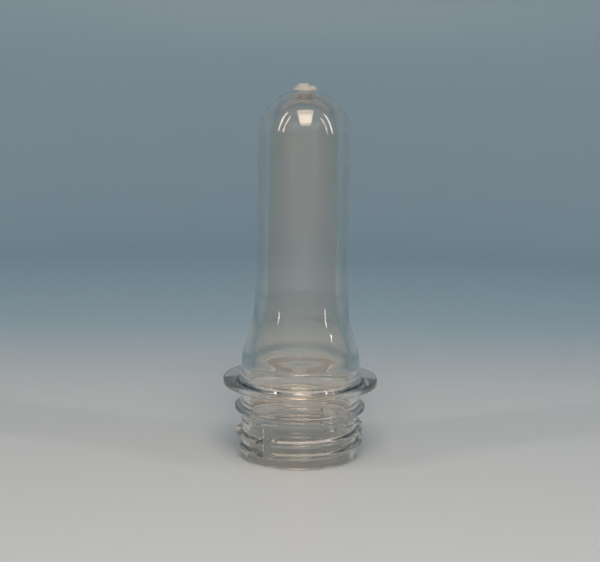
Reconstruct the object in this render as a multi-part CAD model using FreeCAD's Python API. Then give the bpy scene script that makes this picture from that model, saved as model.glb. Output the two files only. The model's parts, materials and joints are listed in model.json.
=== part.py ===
"""Injection-moulded PET bottle preform with a short 28 mm screw neck.

The preform is one moulded piece. It stands mouth down on its sealing rim:
the Z axis is its own axis, z = 0 is the sealing rim, and the closed end with
the broken-off gate stub points up. All lengths are in millimetres, all
angles in degrees. Angles about the axis start at -Y and run towards +X.
"""
import FreeCAD, Part
import math
import os

# ---- sealing rim and bore -------------------------------------------------
BORE_R = 10.87              # straight bore of the neck
BORE_DEPTH = 18.4           # straight length of the bore
RIM_R = 12.47               # outside of the rim, and the root of the thread
RIM_OUTER_ROUND = 0.40
RIM_INNER_ROUND = 0.30

# ---- screw thread ---------------------------------------------------------
THREAD_R = 13.715           # crest
THREAD_PITCH = 2.7
THREAD_START_HEIGHT = 2.33  # crest centre above the rim, at the start
THREAD_START_ANGLE = -83.0
THREAD_WRAP = 650.0
THREAD_CREST = 0.55         # width of the flat crest
LOAD_FLANK_SLOPE = 17.0     # flank towards the support ledge
FREE_FLANK_SLOPE = 27.0     # flank towards the rim
THREAD_SINK = 0.35          # how deep the thread's foot reaches into the wall
RUN_OUT_SLOPE = 20.0        # how steeply the thread rises at its two ends

# ---- vent slots through the thread ----------------------------------------
VENT_ANGLES = (-86.0, -33.0, 88.0, 147.0)
VENT_WIDTH = 2.0            # at the thread's root
VENT_SIDE_SLOPE = 45.0
VENT_DEPTH = 0.20           # below the thread's root
VENT_BOTTOM = 1.9           # lower end of the slots above the rim

# ---- waist, tamper bead and neck cylinder ---------------------------------
WAIST_R = 12.27
WAIST_BOTTOM = 7.9
WAIST_TOP = 9.1
BEAD_R = 14.0
BEAD_TOP = 11.15            # flat side, towards the support ledge
BEAD_EDGE = 0.85            # height of the bead's outer edge
BEAD_ROUND = 0.36
NECK_R = 12.855
NECK_FILLET = 0.40          # where the neck meets the bead and the ledge

# ---- support ledge --------------------------------------------------------
LEDGE_R = 16.5
LEDGE_TOP = 17.0            # flat face that the preform hangs by
LEDGE_EDGE = 1.34           # thickness at the outer edge
LEDGE_UNDERSIDE_SLOPE = 6.0
LEDGE_ROUND = 0.36

# ---- shoulder and body ----------------------------------------------------
SHOULDER_R = 12.66
SHOULDER_STRAIGHT = 3.7     # height of the straight part above the ledge
SHOULDER_ROUND = 6.4
SHOULDER_SLOPE = 16.7
SHOULDER_HOLLOW = 18.0      # hollow arc between the taper and the body
BODY_R = 9.97               # at the foot of the shoulder taper
BODY_TIP_R = 9.79           # where the dome starts
BODY_LENGTH = 60.89         # from the ledge's flat face to the top of the dome
DOME_TOP = LEDGE_TOP + BODY_LENGTH
DOME_BASE = DOME_TOP - BODY_TIP_R

# ---- cavity ---------------------------------------------------------------
WALL = 2.60                 # of the body and the dome
CORE_ROUND = 12.0           # arc between the bore and the taper
CORE_HOLLOW = 20.0          # hollow arc between the taper and the body
CORE_SLOPE = 14.6

# ---- gate stub ------------------------------------------------------------
STUB_R = 2.55
STUB_TIP_R = 2.20
STUB_HEIGHT = 1.30          # above the top of the dome
STUB_STEP = 0.50            # how much lower the broken side is
STUB_STEP_OFFSET = 0.70     # of the break from the axis

NODE = "preform"

# Directions in the half section, as angles above the outward direction.
OUT, UP, IN, DOWN = 0, 90, 180, 270


def point(r, z):
    """A point of the half section, which lies in the XZ plane."""
    return FreeCAD.Vector(r, 0, z)


class Section:
    """A chain of lines and arcs in the half section."""

    def __init__(self, r, z):
        self.start = point(r, z)
        self.here = self.start
        self.edges = []

    def line(self, r, z):
        there = point(r, z)
        if (there - self.here).Length > 1e-6:
            self.edges.append(Part.LineSegment(self.here, there).toShape())
            self.here = there

    def arc(self, middle, end):
        self.edges.append(Part.Arc(self.here, middle, end).toShape())
        self.here = end

    def rounded(self, corner, beyond, radius):
        """A line towards a corner, ending in a rounding that faces `beyond`."""
        corner = point(*corner)
        back = (self.here - corner).normalize()
        ahead = (point(*beyond) - corner).normalize()
        half = back.getAngle(ahead) / 2
        reach = radius / math.tan(half)
        centre = corner + (back + ahead).normalize() * (radius / math.sin(half))
        begin = corner + back * reach
        end = corner + ahead * reach
        middle = centre + (corner - centre).normalize() * radius
        self.line(begin.x, begin.z)
        self.arc(middle, end)

    def turned(self, centre_r, centre_z, radius, slope_from, slope_to):
        """An arc about a centre, between two directions seen from there."""
        def on_arc(slope):
            angle = math.radians(slope)
            return point(centre_r + radius * math.cos(angle), centre_z + radius * math.sin(angle))
        first = on_arc(slope_from)
        self.line(first.x, first.z)
        self.arc(on_arc((slope_from + slope_to) / 2), on_arc(slope_to))

    def revolve(self):
        """The solid of revolution of the chain, closed along the axis side."""
        self.line(self.start.x, self.start.z)
        face = Part.Face(Part.Wire(self.edges))
        return face.revolve(FreeCAD.Vector(0, 0, 0), FreeCAD.Vector(0, 0, 1), 360)


def taper_end(start_z, start_r, end_r, round_r, hollow_r, slope):
    """Height where a taper, with an arc at each end, meets the end radius.

    The taper narrows from start_r to end_r. It begins with an arc of radius
    round_r at start_z and ends with a hollow arc of radius hollow_r.
    """
    angle = math.radians(slope)
    arcs_fall = (round_r + hollow_r) * (1 - math.cos(angle))
    arcs_height = (round_r + hollow_r) * math.sin(angle)
    return start_z + arcs_height + (start_r - end_r - arcs_fall) / math.tan(angle)


def outer_form():
    """Everything outside, from the rim to the top of the dome, as one solid."""
    ledge_bottom = LEDGE_TOP - LEDGE_EDGE
    ledge_root = ledge_bottom - (LEDGE_R - NECK_R) * math.tan(math.radians(LEDGE_UNDERSIDE_SLOPE))
    shoulder_start = LEDGE_TOP + SHOULDER_STRAIGHT
    shoulder_end = taper_end(
        shoulder_start, SHOULDER_R, BODY_R, SHOULDER_ROUND, SHOULDER_HOLLOW, SHOULDER_SLOPE
    )
    form = Section(0, 0)
    form.rounded((RIM_R, 0), (RIM_R, WAIST_BOTTOM), RIM_OUTER_ROUND)
    form.line(RIM_R, WAIST_BOTTOM)
    form.line(WAIST_R, WAIST_BOTTOM + (RIM_R - WAIST_R))
    form.line(WAIST_R, WAIST_TOP)
    form.rounded((BEAD_R, BEAD_TOP - BEAD_EDGE), (BEAD_R, BEAD_TOP), BEAD_ROUND)
    form.rounded((BEAD_R, BEAD_TOP), (NECK_R, BEAD_TOP), BEAD_ROUND)
    form.rounded((NECK_R, BEAD_TOP), (NECK_R, LEDGE_TOP), NECK_FILLET)
    form.rounded((NECK_R, ledge_root), (LEDGE_R, ledge_bottom), NECK_FILLET)
    form.rounded((LEDGE_R, ledge_bottom), (LEDGE_R, LEDGE_TOP), LEDGE_ROUND)
    form.rounded((LEDGE_R, LEDGE_TOP), (SHOULDER_R, LEDGE_TOP), LEDGE_ROUND)
    form.rounded((SHOULDER_R, LEDGE_TOP), (SHOULDER_R, shoulder_start), NECK_FILLET)
    form.turned(SHOULDER_R - SHOULDER_ROUND, shoulder_start, SHOULDER_ROUND, OUT, SHOULDER_SLOPE)
    form.turned(BODY_R + SHOULDER_HOLLOW, shoulder_end, SHOULDER_HOLLOW, IN + SHOULDER_SLOPE, IN)
    form.line(BODY_TIP_R, DOME_BASE)
    form.turned(0, DOME_BASE, BODY_TIP_R, OUT, UP)
    return form.revolve()


def cavity_form():
    """The space inside, open at the mouth, as one solid."""
    core_r = BODY_R - WALL
    tip_r = BODY_TIP_R - WALL
    core_start = taper_end(BORE_DEPTH, BORE_R, core_r, CORE_ROUND, CORE_HOLLOW, CORE_SLOPE)
    form = Section(0, 0)
    form.turned(BORE_R + RIM_INNER_ROUND, RIM_INNER_ROUND, RIM_INNER_ROUND, DOWN, IN)
    form.turned(BORE_R - CORE_ROUND, BORE_DEPTH, CORE_ROUND, OUT, CORE_SLOPE)
    form.turned(core_r + CORE_HOLLOW, core_start, CORE_HOLLOW, IN + CORE_SLOPE, IN)
    form.line(tip_r, DOME_BASE)
    form.turned(0, DOME_BASE, tip_r, OUT, UP)
    return form.revolve()


def trough(angle, floor_r, width, slopes, bottom, top):
    """A cutter beyond a flat floor, with a sloping side at each hand.

    Its floor stands at floor_r from the axis and is `width` wide, and its two
    sides open outwards at the given slopes from the floor's plane.
    """
    reach = THREAD_R * 1.5 - floor_r
    spread = [reach / math.tan(math.radians(slope)) for slope in slopes]
    corners = [
        FreeCAD.Vector(-width / 2, -floor_r, bottom),
        FreeCAD.Vector(width / 2, -floor_r, bottom),
        FreeCAD.Vector(width / 2 + spread[1], -floor_r - reach, bottom),
        FreeCAD.Vector(-width / 2 - spread[0], -floor_r - reach, bottom),
    ]
    face = Part.Face(Part.makePolygon(corners + corners[:1]))
    cutter = face.extrude(FreeCAD.Vector(0, 0, top - bottom))
    cutter.rotate(FreeCAD.Vector(0, 0, 0), FreeCAD.Vector(0, 0, 1), angle)
    return cutter


def thread_form():
    """The helical ridge with its two run-outs, before the vents are cut."""
    height = THREAD_R - RIM_R
    load = math.tan(math.radians(LOAD_FLANK_SLOPE))
    free = math.tan(math.radians(FREE_FLANK_SLOPE))
    foot_r = RIM_R - THREAD_SINK
    depth = height + THREAD_SINK
    above = THREAD_START_HEIGHT + THREAD_CREST / 2
    below = THREAD_START_HEIGHT - THREAD_CREST / 2
    corners = [
        point(foot_r, below - depth * free),
        point(THREAD_R, below),
        point(THREAD_R, above),
        point(foot_r, above + depth * load),
    ]
    profile = Part.makePolygon(corners + corners[:1])
    rise = THREAD_PITCH * THREAD_WRAP / 360
    helix = Part.makeHelix(THREAD_PITCH, rise, THREAD_R)
    helix.translate(point(0, THREAD_START_HEIGHT))
    ridge = Part.Wire(helix.Edges).makePipeShell([profile], True, True)
    ridge.rotate(FreeCAD.Vector(0, 0, 0), FreeCAD.Vector(0, 0, 1), THREAD_START_ANGLE - 90)

    side = [VENT_SIDE_SLOPE, RUN_OUT_SLOPE]
    for turned, low in ((0.0, 0.0), (THREAD_WRAP, rise)):
        level = THREAD_START_HEIGHT + low
        ridge = ridge.cut(trough(
            THREAD_START_ANGLE + turned,
            RIM_R,
            VENT_WIDTH,
            side,
            level - THREAD_PITCH / 2,
            level + THREAD_PITCH / 2,
        ))
        side.reverse()
    return ridge


def vents():
    """The slots that cut the thread into arcs."""
    floor_r = RIM_R - VENT_DEPTH
    floor_width = VENT_WIDTH - 2 * VENT_DEPTH / math.tan(math.radians(VENT_SIDE_SLOPE))
    return [
        trough(angle, floor_r, floor_width, [VENT_SIDE_SLOPE] * 2, VENT_BOTTOM, WAIST_BOTTOM)
        for angle in VENT_ANGLES
    ]


def gate_stub():
    """The short stub left on the dome, lower on the side where it broke."""
    top = DOME_TOP + STUB_HEIGHT
    root = DOME_TOP - WALL / 2
    stub = Part.makeCone(STUB_R, STUB_TIP_R, top - root, point(0, root))
    corner = FreeCAD.Vector(STUB_STEP_OFFSET, -STUB_R, top - STUB_STEP)
    return stub.cut(Part.makeBox(STUB_R, 2 * STUB_R, STUB_STEP, corner))


def preform():
    """The whole moulded piece."""
    solid = outer_form().fuse(thread_form())
    solid = solid.cut(Part.makeCompound(vents()))
    solid = solid.fuse(gate_stub())
    solid = solid.cut(cavity_form())
    return solid.removeSplitter()


def main():
    os.makedirs("parts", exist_ok=True)
    shape = preform()
    solid = shape.Solids[0]
    solid.exportStep("parts/" + NODE + ".step")
    box = solid.BoundBox
    print(NODE, "solids", len(shape.Solids), "valid", solid.isValid())
    print("volume %.1f mm3, height %.2f mm, width %.2f mm" % (solid.Volume, box.ZLength, box.XLength))


main()
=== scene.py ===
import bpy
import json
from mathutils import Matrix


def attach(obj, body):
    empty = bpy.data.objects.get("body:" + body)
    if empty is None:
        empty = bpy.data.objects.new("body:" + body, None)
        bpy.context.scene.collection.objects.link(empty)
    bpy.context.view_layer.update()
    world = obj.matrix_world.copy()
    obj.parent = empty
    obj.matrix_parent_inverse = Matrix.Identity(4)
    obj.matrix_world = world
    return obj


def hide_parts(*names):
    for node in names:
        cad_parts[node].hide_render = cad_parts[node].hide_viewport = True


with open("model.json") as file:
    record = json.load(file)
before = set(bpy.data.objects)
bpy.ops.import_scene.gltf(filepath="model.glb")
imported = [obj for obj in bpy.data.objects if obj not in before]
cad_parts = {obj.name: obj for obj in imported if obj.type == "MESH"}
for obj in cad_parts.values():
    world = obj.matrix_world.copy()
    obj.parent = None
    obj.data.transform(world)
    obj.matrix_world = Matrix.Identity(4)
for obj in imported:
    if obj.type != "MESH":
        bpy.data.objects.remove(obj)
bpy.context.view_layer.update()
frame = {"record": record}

import json
import math

import bmesh
import bpy
from mathutils import Matrix, Vector, noise

bl_info = {
    "name": "Bottle preform",
    "version": (1, 0, 0),
    "blender": (4, 5, 0),
    "location": "3D View > Sidebar > Preform",
    "description": "A clear moulded bottle preform and a plain studio round it",
    "category": "Add Mesh",
}

MM = 0.001
MOUNTS = {mount["name"]: mount for mount in frame["record"]["mounts"]}
NODE = "preform"


def length(name, description, mm):
    return bpy.props.FloatProperty(name=name, description=description, default=mm * MM, unit="LENGTH", precision=5)


def angle(name, description, degrees):
    return bpy.props.FloatProperty(name=name, description=description, default=math.radians(degrees), subtype="ANGLE")


def colour(name, description, rgb):
    return bpy.props.FloatVectorProperty(
        name=name, description=description, default=rgb, size=3, subtype="COLOR", min=0, max=1
    )


def factor(name, description, value):
    return bpy.props.FloatProperty(name=name, description=description, default=value, subtype="FACTOR", min=0, max=1)


class PreformNeck(bpy.types.PropertyGroup):
    """The screw neck, from the sealing rim to the support ledge."""

    bore: bpy.props.FloatProperty(
        name="Bore radius", description="Radius of the straight bore", unit="LENGTH",
        default=MOUNTS["neck_bore"]["dims"]["r_mm"] * MM,
    )
    bore_depth: length("Bore depth", "Straight length of the bore from the rim", 18.4)
    rim: length("Rim radius", "Outside of the rim and root of the thread", 12.47)
    thread: length("Thread radius", "Radius of the thread's crest", 13.715)
    pitch: length("Pitch", "Rise of the thread in one turn", 2.7)
    crest: length("Crest width", "Width of the thread's flat crest", 0.55)
    thread_start: length("Thread start height", "Middle of the thread above the rim at its start", 2.33)
    start_turn: angle("Thread start", "Where the thread starts, from the front", -83)
    wrap: angle("Thread wrap", "How far the thread turns", 650)
    load_flank: angle("Load flank", "Slope of the flank towards the ledge", 17)
    free_flank: angle("Free flank", "Slope of the flank towards the rim", 27)
    run_out: angle("Run-out", "How steeply the thread rises at its ends", 20)
    vent_turns: bpy.props.FloatVectorProperty(
        name="Vents", description="Where the vent slots stand, from the front", size=4, subtype="EULER",
        default=[math.radians(turn) for turn in (-86, -33, 88, 147)],
    )
    vent_width: length("Vent width", "Width of a vent slot at the thread's root", 2.0)
    vent_side: angle("Vent side", "Slope of a vent slot's sides", 45)
    vent_depth: length("Vent depth", "How far a vent slot cuts below the root", 0.2)
    vent_bottom: length("Vent bottom", "Lower end of the vent slots", 1.9)
    waist: length("Waist radius", "Radius of the waist below the bead", 12.27)
    waist_bottom: length("Waist bottom", "Height where the waist starts", 7.9)
    waist_top: length("Waist top", "Height where the bead's slope starts", 9.1)
    bead: length("Bead radius", "Radius of the tamper bead", 14.0)
    bead_top: length("Bead top", "Height of the bead's flat side", 11.15)
    bead_edge: length("Bead edge", "Height of the bead's outer edge", 0.85)
    neck: length("Neck radius", "Plain neck between bead and ledge", 12.855)
    ledge: length("Ledge radius", "Radius of the support ledge", 16.5)
    ledge_top: bpy.props.FloatProperty(
        name="Ledge height", description="Height of the ledge's flat face", unit="LENGTH",
        default=MOUNTS["support_ledge"]["pos_m"][2],
    )
    ledge_edge: length("Ledge edge", "Thickness of the ledge at its edge", 1.34)
    ledge_slope: angle("Ledge slope", "Slope of the ledge's underside", 6)


class PreformBody(bpy.types.PropertyGroup):
    """The shoulder, body, dome and gate stub."""

    shoulder: length("Shoulder radius", "Radius just above the ledge", 12.66)
    straight: length("Shoulder straight", "Straight height above the ledge", 3.7)
    shoulder_round: length("Shoulder round", "Radius of the arc that starts the taper", 6.4)
    shoulder_slope: angle("Shoulder slope", "Slope of the taper", 16.7)
    shoulder_hollow: length("Shoulder hollow", "Radius of the arc that ends the taper", 18.0)
    body: length("Body radius", "Radius at the foot of the body", 9.97)
    tip: length("Dome radius", "Radius where the dome starts", 9.79)
    above_ledge: length("Body length", "From the ledge's flat face to the top of the dome", 60.89)
    wall: length("Wall", "Wall of the body and dome", 2.6)
    core_round: length("Core round", "Radius of the arc between bore and taper", 12)
    core_slope: angle("Core slope", "Slope of the inner taper", 14.6)
    core_hollow: length("Core hollow", "Radius of the arc between taper and body", 20)
    stub: length("Stub radius", "Radius of the gate stub at its foot", 2.55)
    stub_tip: length("Stub tip radius", "Radius of the gate stub at its top", 2.15)
    stub_height: length("Stub height", "Height of the gate stub above the dome", 1.22)


class PreformFinish(bpy.types.PropertyGroup):
    """Colours of the plastic and of the studio."""

    tint: colour("Tint", "Colour that the clear plastic gives to light", (0.93, 0.895, 0.85))
    gloss: factor("Roughness", "Roughness of the moulded surface", 0.025)
    thread_satin: factor("Thread satin", "Extra roughness of the thread's ridge", 0.10)
    break_white: colour("Break", "Colour of the crumbled gate break", (0.97, 0.95, 0.92))
    # Painted shade: the darker colour that the break's hollows take.
    break_hollow_shade: colour("Break hollow shade", "Painted shade in the break's hollows", (0.91, 0.86, 0.81))
    floor: colour("Floor", "Colour of the floor", (0.52, 0.59, 0.66))
    back: colour("Back", "Colour of the backdrop", (0.36, 0.52, 0.65))
    # Painted light and shade on the sweep's front walls, which the preform reflects: warm to both sides, darker right
    # in the middle.
    front: colour("Front", "Painted warm light on the sweep to both sides of the front", (0.60, 0.53, 0.47))
    middle: colour("Front middle", "Painted shade on the sweep right in front", (0.42, 0.41, 0.40))
    room: colour("Room", "Colour of the room above the sweep", (0.25, 0.25, 0.25))


class HalfSection:
    """Half of a section, drawn as a chain of points in the XZ plane."""

    def __init__(self, r, z):
        self.points = [Vector((r, 0, z))]

    def line(self, r, z, steps=1):
        here, there = self.points[-1], Vector((r, 0, z))
        if (there - here).length < 1e-7:
            return
        self.points += [here.lerp(there, step / steps) for step in range(1, steps + 1)]

    def arc(self, r, z, radius, start, end, steps=6):
        """An arc about (r, z); directions are angles above the outward one."""
        for step in range(steps + 1):
            turn = start + (end - start) * step / steps
            self.line(r + radius * math.cos(turn), z + radius * math.sin(turn))

    def corner(self, r, z, next_r, next_z, radius, steps=5):
        """A line to a corner at (r, z), rounded towards the next point."""
        corner = Vector((r, 0, z))
        back = (self.points[-1] - corner).normalized()
        ahead = (Vector((next_r, 0, next_z)) - corner).normalized()
        half = back.angle(ahead) / 2
        centre = corner + (back + ahead).normalized() * (radius / math.sin(half))
        begin = corner + back * (radius / math.tan(half)) - centre
        end = corner + ahead * (radius / math.tan(half)) - centre
        for step in range(steps + 1):
            spoke = begin.slerp(end, step / steps) * radius
            self.line(centre.x + spoke.x, centre.z + spoke.z)

    def draw(self, bm):
        verts = [bm.verts.new(point) for point in self.points]
        edges = [bm.edges.new(pair) for pair in zip(verts, verts[1:])]
        return verts + edges


def taper_end(start_z, start_r, end_r, round_r, hollow_r, slope):
    """Height where a taper with an arc at each end meets the end radius."""
    fall = (round_r + hollow_r) * (1 - math.cos(slope))
    height = (round_r + hollow_r) * math.sin(slope)
    return start_z + height + (start_r - end_r - fall) / math.tan(slope)


def soft_min(a, b, blend):
    """The smaller of two values, rounded over where they meet."""
    h = max(0.0, blend - abs(a - b)) / blend
    return min(a, b) - h * h * blend / 4


def soft_max(a, b, blend):
    return -soft_min(-a, -b, blend)


class ThreadRows:
    """Bends the plain rows of the neck's wall into the vented screw thread.

    The rows follow the helix, so that the thread's edges run along them. At
    the last vent, where the wall is plain, they drop back by one pitch.
    """

    BOTTOM = 0.8 * MM       # the rows are level below this height
    TOP = 8.7 * MM          # and above this one
    SQUEEZE = 0.45 * MM     # where rows without thread are gathered
    EASE = math.radians(3.4)  # half of the turn over which the rows drop back
    FILLET = 0.16 * MM

    def __init__(self, neck):
        self.neck = neck
        self.seam = neck.vent_turns[3]
        self.height = neck.thread - neck.rim
        self.rise = neck.pitch / math.tau
        self.low = self.BOTTOM - self.rise * (self.seam - neck.start_turn) - 0.1 * MM
        turns = math.ceil((self.TOP + self.rise * (neck.start_turn - self.seam + math.tau) - self.low) / neck.pitch)
        self.high = self.low + turns * neck.pitch
        self.turns = turns

    def profile_rows(self):
        """Where the rows lie in one pitch, from one mid-gap to the next."""
        half = self.neck.crest / 2
        load = half + self.height * math.tan(self.neck.load_flank)
        free = half + self.height * math.tan(self.neck.free_flank)
        gap = self.neck.pitch / 2
        marks = [
            -(free + gap) / 2, -free - 0.12 * MM, -free, -free + 0.1 * MM,
            -(free * 0.65 + half * 0.35), -(free + half) / 2, -half - 0.12 * MM, -half, -half + 0.1 * MM,
            0.0,
            half - 0.1 * MM, half, half + 0.06 * MM, half + 0.13 * MM, (half + load) / 2,
            load - 0.08 * MM, load, load + 0.07 * MM, load + 0.16 * MM, (load + gap) / 2, gap,
        ]
        return marks

    def rows(self):
        """Heights of the rows before they are bent, from low to high."""
        first = math.floor((self.low - self.neck.thread_start) / self.neck.pitch) - 1
        heights = [
            self.neck.thread_start + (first + turn) * self.neck.pitch + mark
            for turn in range(self.turns + 3)
            for mark in self.profile_rows()
        ]
        return [z for z in heights if self.low < z < self.high]

    def flat(self, z):
        """The level that stands for a row while the section is spun."""
        return self.BOTTOM + (self.TOP - self.BOTTOM) * (z - self.low) / (self.high - self.low)

    def row_of(self, level):
        return self.low + (self.high - self.low) * (level - self.BOTTOM) / (self.TOP - self.BOTTOM)

    def bent_height(self, row, turn):
        """Height of a row at an angle about the axis."""
        before, after = self.seam - self.EASE, self.seam + self.EASE
        if turn > after:
            turn -= math.tau
        elif turn > before:
            turn -= math.tau * (turn - before) / (after - before)
        lift = self.rise * (turn - self.neck.start_turn)
        z = row + lift
        floor, roof = self.BOTTOM + self.SQUEEZE, self.TOP - self.SQUEEZE
        if z < floor:
            return floor - (floor - z) * self.SQUEEZE / (floor - self.low - lift)
        if z > roof:
            return roof + (z - roof) * self.SQUEEZE / (self.high + lift - roof)
        return z

    def ridge(self, turn, z):
        """Radius of the thread at a place, or less than the wall's."""
        neck = self.neck
        if turn > self.seam:
            turn -= math.tau
        best = 0.0
        for whole in range(3):
            along = turn - neck.start_turn + math.tau * whole
            across = z - neck.thread_start - self.rise * along
            if abs(across) > neck.pitch * 0.6:
                continue
            load = neck.crest / 2 + self.height * math.tan(neck.load_flank)
            free = neck.crest / 2 + self.height * math.tan(neck.free_flank)
            upper = (load - across) / math.tan(neck.load_flank)
            lower = (free + across) / math.tan(neck.free_flank)
            ends = min(along, neck.wrap - along) * neck.rim * math.tan(neck.run_out)
            ridge = soft_min(soft_min(self.height, upper, self.FILLET * 2), lower, self.FILLET * 2)
            best = max(best, neck.rim + soft_min(ridge, ends, self.FILLET))
        return best

    def vent(self, turn, z):
        """Radius to which the vent slots cut the neck down at a place."""
        neck = self.neck
        limit = 1.0
        slope = math.tan(neck.vent_side)
        for middle in neck.vent_turns:
            off = abs((turn - middle + math.pi) % math.tau - math.pi)
            if off > math.radians(25):
                continue
            floor = neck.rim - neck.vent_depth
            half = neck.vent_width / 2 - neck.vent_depth / slope
            side = (floor - half * slope) / (math.cos(off) - slope * math.sin(off))
            end = floor + max(0.0, neck.vent_bottom + neck.vent_depth - z)
            limit = min(limit, soft_max(soft_max(floor / math.cos(off), side, 0.06 * MM), end, 0.06 * MM))
        return limit

    def wall(self, z):
        """Radius of the plain wall, which steps in at the waist."""
        neck = self.neck
        step = min(1.0, max(0.0, (z - neck.waist_bottom) / (neck.rim - neck.waist)))
        return neck.rim + (neck.waist - neck.rim) * step * step * (3 - 2 * step)

    def radius(self, turn, z):
        full = soft_max(self.wall(z), self.ridge(turn, z), self.FILLET)
        return soft_min(full, self.vent(turn, z), 0.08 * MM)


def column_turns(neck):
    """Angles of the mesh's columns, closer together at the vent slots."""
    fine, coarse, reach = math.radians(0.5), math.radians(2), math.radians(11)
    turns, turn = [], -math.pi
    while turn < math.pi - coarse / 2:
        turns.append(turn)
        off = min(abs((turn + coarse / 2 - middle + math.pi) % math.tau - math.pi) for middle in neck.vent_turns)
        turn += fine if off < reach else coarse
    return turns


def front_turn(x, y):
    """Angle about the axis, from the front towards +X."""
    return math.atan2(x, -y)


def outer_section(section, neck, body, rows):
    """Draws the outside, from the rim to the middle of the gate stub's top."""
    ledge_bottom = neck.ledge_top - neck.ledge_edge
    ledge_root = ledge_bottom - (neck.ledge - neck.neck) * math.tan(neck.ledge_slope)
    bead_foot = neck.bead_top - neck.bead_edge
    shoulder_start = neck.ledge_top + body.straight
    shoulder_end = taper_end(
        shoulder_start, body.shoulder, body.body, body.shoulder_round, body.shoulder_hollow, body.shoulder_slope
    )
    dome_top = neck.ledge_top + body.above_ledge
    dome_base = dome_top - body.tip
    section.corner(neck.rim, 0, neck.rim, rows.BOTTOM, 0.4 * MM, 6)
    section.line(neck.rim, rows.BOTTOM)
    for row in rows.rows():
        section.line(neck.rim, rows.flat(row))
    section.line(neck.waist, rows.TOP)
    section.corner(neck.waist, neck.waist_top, neck.bead, bead_foot, 0.25 * MM)
    section.corner(neck.bead, bead_foot, neck.bead, neck.bead_top, 0.34 * MM)
    section.corner(neck.bead, neck.bead_top, neck.neck, neck.bead_top, 0.34 * MM)
    section.corner(neck.neck, neck.bead_top, neck.neck, neck.ledge_top, 0.4 * MM)
    section.corner(neck.neck, ledge_root, neck.ledge, ledge_bottom, 0.4 * MM)
    section.corner(neck.ledge, ledge_bottom, neck.ledge, neck.ledge_top, 0.36 * MM, 6)
    section.corner(neck.ledge, neck.ledge_top, body.shoulder, neck.ledge_top, 0.36 * MM, 6)
    section.corner(body.shoulder, neck.ledge_top, body.shoulder, shoulder_start, 0.4 * MM)
    section.line(body.shoulder, shoulder_start)
    section.arc(body.shoulder - body.shoulder_round, shoulder_start, body.shoulder_round, 0, body.shoulder_slope)
    section.arc(
        body.body + body.shoulder_hollow, shoulder_end, body.shoulder_hollow,
        math.pi + body.shoulder_slope, math.pi, 10,
    )
    section.line(body.tip, dome_base, 12)
    foot = math.acos((body.stub + 0.25 * MM) / body.tip)
    section.arc(0, dome_base, body.tip, 0, foot, 30)
    stub_root = dome_base + math.sqrt(body.tip ** 2 - body.stub ** 2)
    stub_top = dome_top + body.stub_height
    section.corner(body.stub, stub_root, body.stub_tip, stub_top, 0.15 * MM, 3)
    section.line(body.stub_tip, stub_top - 0.1 * MM, 8)
    section.line(body.stub_tip - 0.12 * MM, stub_top)
    section.line(0, stub_top, 9)


def inner_section(section, neck, body):
    """Draws the cavity, from the top of its dome down to the rim."""
    dome_base = neck.ledge_top + body.above_ledge - body.tip
    core, tip = body.body - body.wall, body.tip - body.wall
    core_start = taper_end(neck.bore_depth, neck.bore, core, body.core_round, body.core_hollow, body.core_slope)
    section.arc(0, dome_base, tip, math.pi / 2, 0, 24)
    section.line(core, core_start, 10)
    section.arc(core + body.core_hollow, core_start, body.core_hollow, math.pi, math.pi + body.core_slope, 10)
    section.arc(neck.bore - body.core_round, neck.bore_depth, body.core_round, body.core_slope, 0, 8)
    section.line(neck.bore, 0.3 * MM, 8)
    section.arc(neck.bore + 0.3 * MM, 0.3 * MM, 0.3 * MM, math.pi, math.pi * 1.5)


def crumble(co, neck, body):
    """Moves a point of the gate stub's top to where the break left it."""
    dome_top = neck.ledge_top + body.above_ledge
    stub_top = dome_top + body.stub_height
    above = (co.z - dome_top) / body.stub_height
    if above < 0 or co.xy.length > body.stub + 0.1 * MM:
        return co
    x = co.x / body.stub_tip
    step = 0.5 * MM * min(1, max(0, (x - 0.28) * 8))
    slope = 0.75 * MM * max(0, -x - 0.55) / 0.45
    rough = noise.fractal(co * 1100 + Vector((3.1, 7.7, 1.3)), 0.8, 2.2, 3)
    drop = (step + slope + 0.10 * MM * (1 + rough)) * above
    shrink = 1 - 0.035 * above * (1 + noise.noise(co * 1500))
    return Vector((co.x * shrink, co.y * shrink, min(stub_top, co.z - max(0, drop))))


def build_preform(neck, body):
    """One closed surface, inside and out, spun from its half section."""
    rows = ThreadRows(neck)
    bm = bmesh.new()
    section = HalfSection(neck.bore + 0.3 * MM, 0)
    outer_section(section, neck, body, rows)
    outside = section.draw(bm)
    cavity = HalfSection(0, neck.ledge_top + body.above_ledge - body.wall)
    inner_section(cavity, neck, body)
    inside = cavity.draw(bm)
    turns = column_turns(neck)
    bmesh.ops.spin(
        bm, geom=outside + inside, cent=(0, 0, 0), axis=(0, 0, 1), angle=math.tau,
        steps=len(turns), use_merge=True,
    )
    bmesh.ops.remove_doubles(bm, verts=bm.verts, dist=1e-6)
    for vert in bm.verts:
        r, z = vert.co.xy.length, vert.co.z
        if r < 1e-6:
            continue
        column = round((front_turn(vert.co.x, vert.co.y) + math.pi) / math.tau * len(turns)) % len(turns)
        turn = turns[column]
        if r > neck.rim - 0.01 * MM and rows.BOTTOM + 1e-6 < z < rows.TOP - 1e-6:
            z = rows.bent_height(rows.row_of(z), turn)
            r = rows.radius(turn, z)
        vert.co = crumble(Vector((r * math.sin(turn), -r * math.cos(turn), z)), neck, body)
    bmesh.ops.recalc_face_normals(bm, faces=bm.faces)
    dome_top = neck.ledge_top + body.above_ledge
    for face in bm.faces:
        face.smooth = True
        middle = face.calc_center_median()
        if middle.z > dome_top - 0.25 * MM and middle.xy.length < body.stub + 0.02 * MM:
            face.material_index = 1
    return bm


def new_object(name, bm, *materials):
    mesh = bpy.data.meshes.new(name)
    bm.to_mesh(mesh)
    bm.free()
    for material in materials:
        mesh.materials.append(material)
    piece = bpy.data.objects.new(name, mesh)
    bpy.context.scene.collection.objects.link(piece)
    return piece


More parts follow.
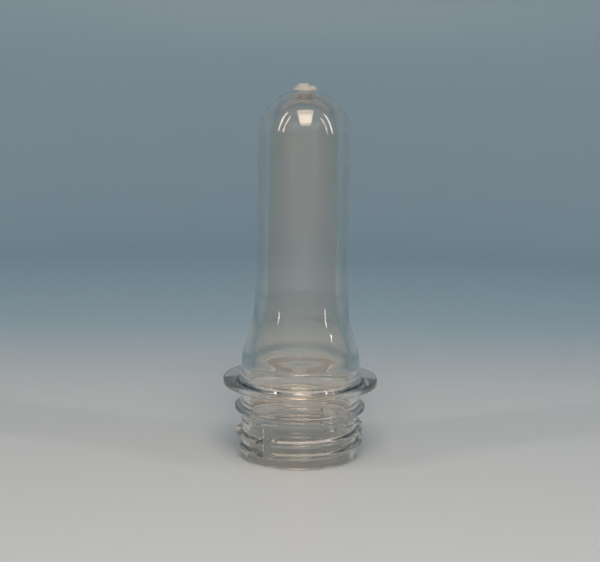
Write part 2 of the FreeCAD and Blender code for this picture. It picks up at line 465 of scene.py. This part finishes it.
def new_material(name):
    material = bpy.data.materials.new(name)
    material.use_nodes = True
    return material, material.node_tree.nodes, material.node_tree.links, material.node_tree.nodes["Principled BSDF"]


def worked_out(nodes, links, operation, *values):
    """A Math node fed with numbers or other nodes' outputs."""
    node = nodes.new("ShaderNodeMath")
    node.operation = operation
    for socket, value in zip(node.inputs, values):
        if isinstance(value, bpy.types.NodeSocket):
            links.new(value, socket)
        else:
            socket.default_value = value
    return node.outputs[0]


def eased(nodes, links, value, low, high):
    """A mask that rises smoothly from 0 at low to 1 at high."""
    node = nodes.new("ShaderNodeMapRange")
    node.interpolation_type = "SMOOTHSTEP"
    node.inputs["From Min"].default_value = low
    node.inputs["From Max"].default_value = high
    links.new(value, node.inputs["Value"])
    return node.outputs["Result"]


def mixed(nodes, links, mask, first, second):
    """A colour between two others, each a colour or another node's output."""
    node = nodes.new("ShaderNodeMix")
    node.data_type = "RGBA"
    links.new(mask, node.inputs["Factor"])
    for name, value in (("A", first), ("B", second)):
        if isinstance(value, bpy.types.NodeSocket):
            links.new(value, node.inputs[name])
        else:
            node.inputs[name].default_value = (*value, 1)
    return node.outputs["Result"]


def pale_sweep(finish):
    """The sweep: a plain floor, cooler behind; its walls in front carry painted warm light to both sides and painted
    shade right in the middle, for the preform to reflect.
    """
    material, nodes, links, shader = new_material("pale_sweep")
    place = nodes.new("ShaderNodeTexCoord")
    flat = nodes.new("ShaderNodeVectorMath")
    flat.operation = "MULTIPLY"
    flat.inputs[1].default_value = (1, 1, 0)
    links.new(place.outputs["Object"], flat.inputs[0])
    away = nodes.new("ShaderNodeVectorMath")
    away.operation = "LENGTH"
    links.new(flat.outputs["Vector"], away.inputs[0])
    split = nodes.new("ShaderNodeSeparateXYZ")
    links.new(flat.outputs["Vector"], split.inputs[0])
    ahead = worked_out(nodes, links, "DIVIDE", split.outputs["Y"], away.outputs["Value"])
    # Painted light and shade: the front walls are warm to both sides and darker right in the middle, so the preform
    # reflects a warm room with a darker band down its middle.
    outer = eased(nodes, links, away.outputs["Value"], 0.30, 0.43)
    painted_room_mask = worked_out(nodes, links, "MULTIPLY", outer, eased(nodes, links, ahead, 0.0, -0.35))
    middle = eased(nodes, links, ahead, -0.86, -0.97)
    front = mixed(nodes, links, middle, finish.front, finish.middle)
    back = mixed(nodes, links, eased(nodes, links, split.outputs["Y"], 0.04, 0.17), finish.floor, finish.back)
    links.new(mixed(nodes, links, painted_room_mask, back, front), shader.inputs["Base Color"])
    shader.inputs["Roughness"].default_value = 0.4
    return material


def clear_pet(finish):
    """Glass-clear moulded plastic, a little satin on the thread."""
    material, nodes, links, shader = new_material("clear_pet")
    shader.inputs["Base Color"].default_value = (*finish.tint, 1)
    shader.inputs["IOR"].default_value = 1.575
    shader.inputs["Transmission Weight"].default_value = 1
    place = nodes.new("ShaderNodeTexCoord")
    split = nodes.new("ShaderNodeSeparateXYZ")
    links.new(place.outputs["Object"], split.inputs[0])
    flat = nodes.new("ShaderNodeVectorMath")
    flat.operation = "MULTIPLY"
    flat.inputs[1].default_value = (1, 1, 0)
    links.new(place.outputs["Object"], flat.inputs[0])
    out = nodes.new("ShaderNodeVectorMath")
    out.operation = "LENGTH"
    links.new(flat.outputs["Vector"], out.inputs[0])
    ridge = eased(nodes, links, out.outputs["Value"], 0.01255, 0.01275)
    low = eased(nodes, links, split.outputs["Z"], 0.0089, 0.0085)
    satin = worked_out(nodes, links, "MULTIPLY", ridge, low)
    flow = nodes.new("ShaderNodeMapping")
    flow.inputs["Scale"].default_value = (1, 1, 0.03)
    links.new(place.outputs["Object"], flow.inputs["Vector"])
    ripple = nodes.new("ShaderNodeTexNoise")
    ripple.inputs["Scale"].default_value = 420
    ripple.inputs["Detail"].default_value = 2
    links.new(flow.outputs["Vector"], ripple.inputs["Vector"])
    haze = nodes.new("ShaderNodeTexNoise")
    haze.inputs["Scale"].default_value = 260
    haze.inputs["Detail"].default_value = 4
    links.new(place.outputs["Object"], haze.inputs["Vector"])
    veil = worked_out(nodes, links, "MULTIPLY_ADD", haze.outputs["Fac"], 0.03, finish.gloss - 0.01)
    rough = worked_out(nodes, links, "MULTIPLY_ADD", satin, finish.thread_satin, veil)
    links.new(rough, shader.inputs["Roughness"])
    bump = nodes.new("ShaderNodeBump")
    bump.inputs["Strength"].default_value = 1
    bump.inputs["Distance"].default_value = 0.000004
    links.new(ripple.outputs["Fac"], bump.inputs["Height"])
    links.new(bump.outputs["Normal"], shader.inputs["Normal"])
    return material


def broken_gate(finish):
    """The whitened, crumbly break of the gate stub, with painted shade darkening the hollows between its crumbs."""
    material, nodes, links, shader = new_material("broken_gate")
    shader.inputs["IOR"].default_value = 1.575
    shader.inputs["Transmission Weight"].default_value = 0.72
    place = nodes.new("ShaderNodeTexCoord")
    crumbs = nodes.new("ShaderNodeTexNoise")
    crumbs.inputs["Scale"].default_value = 1500
    crumbs.inputs["Detail"].default_value = 5
    crumbs.inputs["Roughness"].default_value = 0.65
    links.new(place.outputs["Object"], crumbs.inputs["Vector"])
    # Painted shade: the crumbs' low spots, the hollows of the bump below, take the darker colour.
    pale = eased(nodes, links, crumbs.outputs["Fac"], 0.38, 0.62)
    links.new(mixed(nodes, links, pale, finish.break_hollow_shade, finish.break_white), shader.inputs["Base Color"])
    links.new(worked_out(nodes, links, "MULTIPLY_ADD", pale, 0.25, 0.4), shader.inputs["Roughness"])
    bump = nodes.new("ShaderNodeBump")
    bump.inputs["Strength"].default_value = 0.9
    bump.inputs["Distance"].default_value = 0.0003
    links.new(crumbs.outputs["Fac"], bump.inputs["Height"])
    links.new(bump.outputs["Normal"], shader.inputs["Normal"])
    return material


class PREFORM_OT_preform(bpy.types.Operator):
    """Builds the clear preform as one closed, moulded piece"""

    bl_idname = "preform.preform"
    bl_label = "Preform"

    def execute(self, context):
        scene = context.scene
        bm = build_preform(scene.preform_neck, scene.preform_body)
        piece = new_object("moulded_preform", bm, clear_pet(scene.preform_finish), broken_gate(scene.preform_finish))
        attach(piece, "root")
        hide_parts(NODE)
        return {"FINISHED"}


def area_light(name, azimuth, elevation, distance, width, height, power, tint, target):
    """A rectangular lamp that faces the target; azimuth 0 is the front."""
    a, e = math.radians(azimuth), math.radians(elevation)
    away = Vector((math.sin(a) * math.cos(e), -math.cos(a) * math.cos(e), math.sin(e)))
    lamp = bpy.data.lights.new(name, "AREA")
    lamp.shape = "RECTANGLE"
    lamp.size, lamp.size_y = width, height
    lamp.energy = power
    lamp.color = tint
    holder = bpy.data.objects.new(name, lamp)
    holder.location = target + away * distance
    holder.rotation_euler = away.to_track_quat("Z", "Y").to_euler()
    holder.visible_camera = False
    bpy.context.scene.collection.objects.link(holder)
    return holder


class PREFORM_OT_stage(bpy.types.Operator):
    """Builds the pale sweep, the lamps and the camera"""

    bl_idname = "preform.stage"
    bl_label = "Studio"

    def execute(self, context):
        scene = context.scene
        finish = scene.preform_finish
        section = HalfSection(0, 0)
        section.line(0.32, 0)
        section.arc(0.32, 0.14, 0.14, -math.pi / 2, 0, 16)
        section.line(0.46, 0.42)
        bm = bmesh.new()
        bmesh.ops.spin(
            bm, geom=section.draw(bm), cent=(0, 0, 0), axis=(0, 0, 1), angle=math.tau, steps=96, use_merge=True
        )
        bmesh.ops.remove_doubles(bm, verts=bm.verts, dist=1e-6)
        for face in bm.faces:
            face.smooth = True
        sweep = new_object("sweep", bm, pale_sweep(finish))

        target = Vector((0, 0, 0.068))
        key = area_light("key", 3, 50, 0.35, 0.19, 0.235, 0.95, (1.0, 0.82, 0.64), target)
        key.rotation_euler.rotate_axis("X", math.radians(-22))
        area_light("strip_left", -66, 32, 0.35, 0.020, 0.26, 0.24, (1.0, 0.84, 0.68), target)
        area_light("strip_right", 71, 28, 0.35, 0.018, 0.26, 0.22, (1.0, 0.90, 0.82), target)

        world = bpy.data.worlds.new("studio")
        world.use_nodes = True
        background = world.node_tree.nodes["Background"]
        background.inputs["Color"].default_value = (*finish.room, 1)
        background.inputs["Strength"].default_value = 1.0
        scene.world = world
        bounce = area_light("bounce", 0, 55, 0.42, 0.5, 0.08, 1.3, (1.0, 0.95, 0.9), target)
        bounce.rotation_euler = Vector((0, 1, 0.35)).to_track_quat("Z", "Y").to_euler()

        camera = bpy.data.cameras.new("camera")
        camera.lens = 72
        camera.clip_start = 0.01
        holder = bpy.data.objects.new("camera", camera)
        turn = Matrix.Rotation(math.radians(90 - 9.24), 4, "X") @ Matrix.Rotation(math.radians(0.955), 4, "Z")
        holder.matrix_world = Matrix.Translation((-0.00039, -0.25099, 0.07852)) @ turn
        scene.collection.objects.link(holder)
        scene.camera = holder
        scene.view_settings.view_transform = "Standard"
        scene.cycles.max_bounces = 32
        scene.cycles.transmission_bounces = 32
        scene.cycles.glossy_bounces = 16
        return {"FINISHED"}


class PREFORM_PT_panel(bpy.types.Panel):
    bl_idname = "PREFORM_PT_panel"
    bl_label = "Bottle preform"
    bl_space_type = "VIEW_3D"
    bl_region_type = "UI"
    bl_category = "Preform"

    def draw(self, context):
        for operator in (PREFORM_OT_preform, PREFORM_OT_stage):
            self.layout.operator(operator.bl_idname)
        for group in (context.scene.preform_neck, context.scene.preform_body, context.scene.preform_finish):
            for prop in group.bl_rna.properties:
                if prop.identifier not in ("rna_type", "name"):
                    self.layout.prop(group, prop.identifier)


CLASSES = (PreformNeck, PreformBody, PreformFinish, PREFORM_OT_preform, PREFORM_OT_stage, PREFORM_PT_panel)


def register():
    for cls in CLASSES:
        bpy.utils.register_class(cls)
    bpy.types.Scene.preform_neck = bpy.props.PointerProperty(type=PreformNeck)
    bpy.types.Scene.preform_body = bpy.props.PointerProperty(type=PreformBody)
    bpy.types.Scene.preform_finish = bpy.props.PointerProperty(type=PreformFinish)


def unregister():
    del bpy.types.Scene.preform_neck
    del bpy.types.Scene.preform_body
    del bpy.types.Scene.preform_finish
    for cls in reversed(CLASSES):
        bpy.utils.unregister_class(cls)


def main():
    register()
    bpy.ops.preform.preform()
    bpy.ops.preform.stage()


if __name__ == "__main__":
    main()
